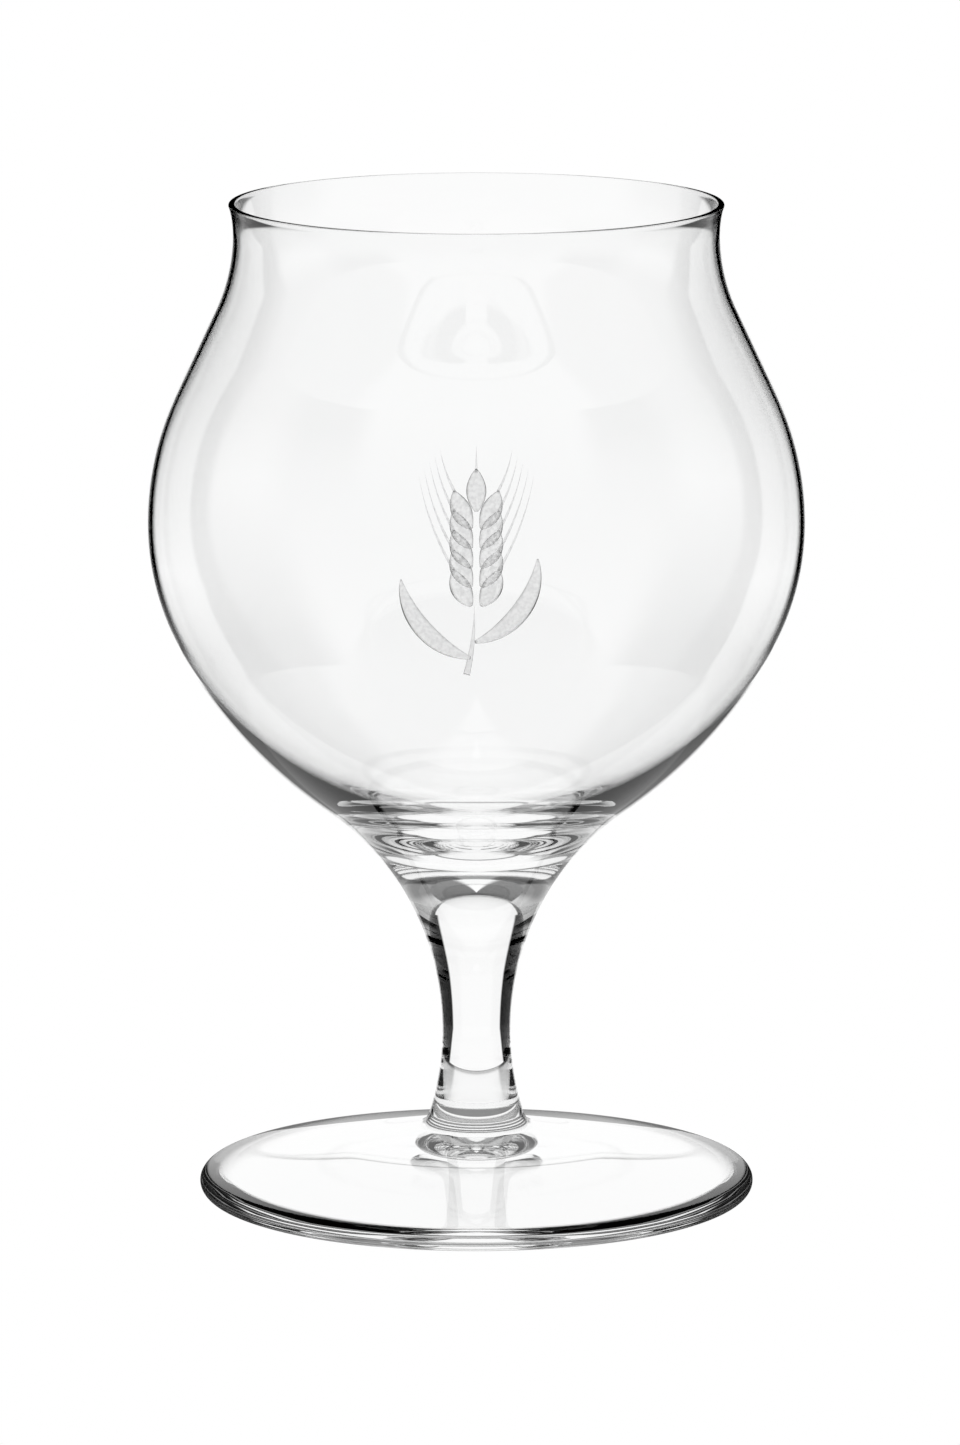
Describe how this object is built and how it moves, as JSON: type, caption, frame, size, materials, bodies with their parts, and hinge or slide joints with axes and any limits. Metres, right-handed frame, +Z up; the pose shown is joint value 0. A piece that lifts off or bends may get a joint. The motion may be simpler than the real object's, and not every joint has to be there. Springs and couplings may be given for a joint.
{
  "type": "tulip beer glass",
  "caption": "Short-stemmed tulip beer glass: a round blown bowl with a waisted neck and a polished lip, a drawn stem and a broad conical foot.",
  "frame": {"origin": "centre of the foot, at the table", "axes": "+Z up along the axis of the glass; -Y is the front, the side with the frosted mark"},
  "size_m": [0.1046, 0.1046, 0.16],
  "materials": {
    "clear_glass": "clear, fire-polished"
  },
  "bodies": {
    "root": {"bowl": "clear_glass", "stem": "clear_glass", "foot": "clear_glass"}
  },
  "joints": []
}
